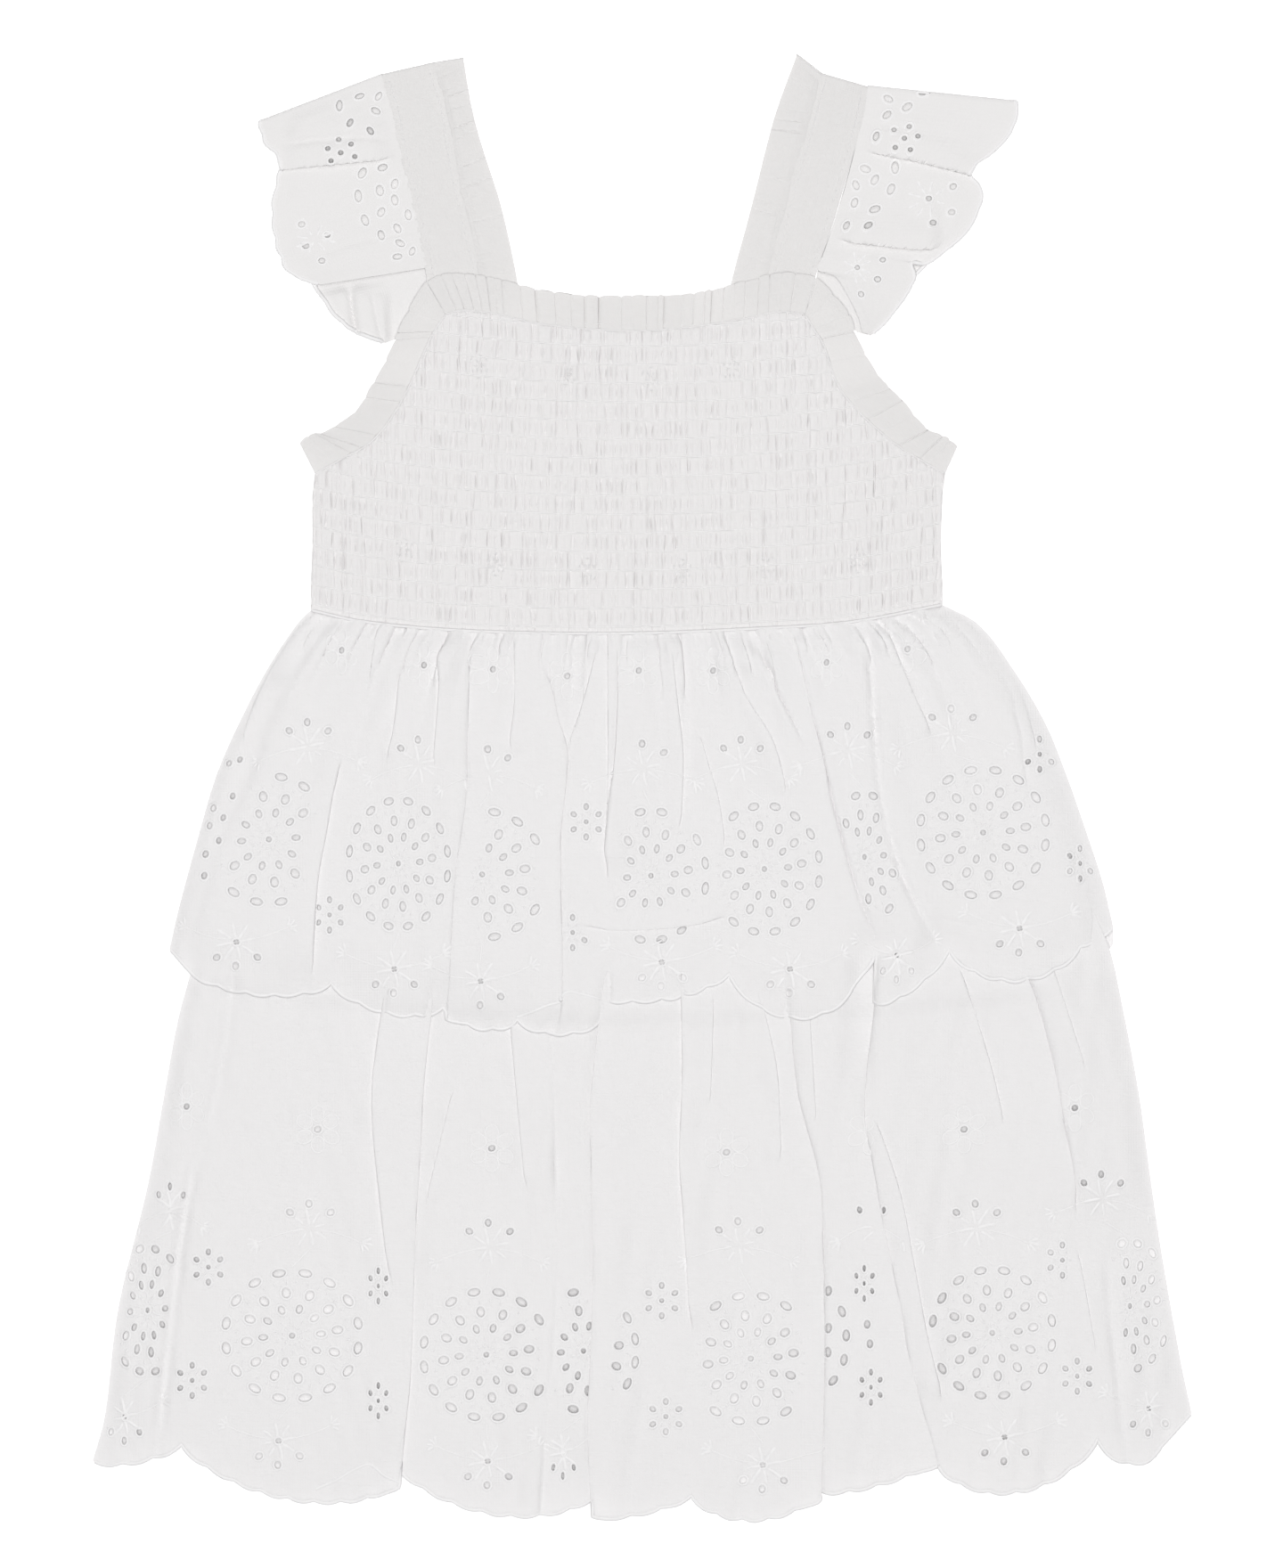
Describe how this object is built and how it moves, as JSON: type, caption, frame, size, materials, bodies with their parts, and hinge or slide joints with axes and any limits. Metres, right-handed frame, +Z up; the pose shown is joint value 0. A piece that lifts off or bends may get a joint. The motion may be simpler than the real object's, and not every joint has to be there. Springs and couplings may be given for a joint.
{
  "type": "toddler dress",
  "caption": "Short white cutwork cotton dress for a toddler, laid out flat: shirred bodice, frilled straps with flutter sleeves and a two-tier gathered skirt.",
  "frame": {"origin": "middle of the footprint, on the surface the dress lies on", "axes": "+Y towards the neck, +X to the right seen from the front, +Z up out of the front of the dress"},
  "size_m": [0.4075, 0.5435, 0.01],
  "materials": {
    "eyelet_cotton": "matte",
    "smocked_cotton": "matte",
    "plain_cotton": "matte"
  },
  "bodies": {
    "root": {"bodice_front": "smocked_cotton", "bodice_back": "smocked_cotton", "neck_frill_front": "plain_cotton", "neck_frill_back": "plain_cotton", "armhole_frill_front_left": "plain_cotton", "armhole_frill_front_right": "plain_cotton", "armhole_frill_back_left": "plain_cotton", "armhole_frill_back_right": "plain_cotton", "strap_left": "plain_cotton", "strap_right": "plain_cotton", "strap_frill_left": "plain_cotton", "strap_frill_right": "plain_cotton", "sleeve_left": "eyelet_cotton", "sleeve_right": "eyelet_cotton", "upper_tier_front": "eyelet_cotton", "upper_tier_back": "eyelet_cotton", "lower_tier_front": "eyelet_cotton", "lower_tier_back": "eyelet_cotton"}
  },
  "joints": []
}
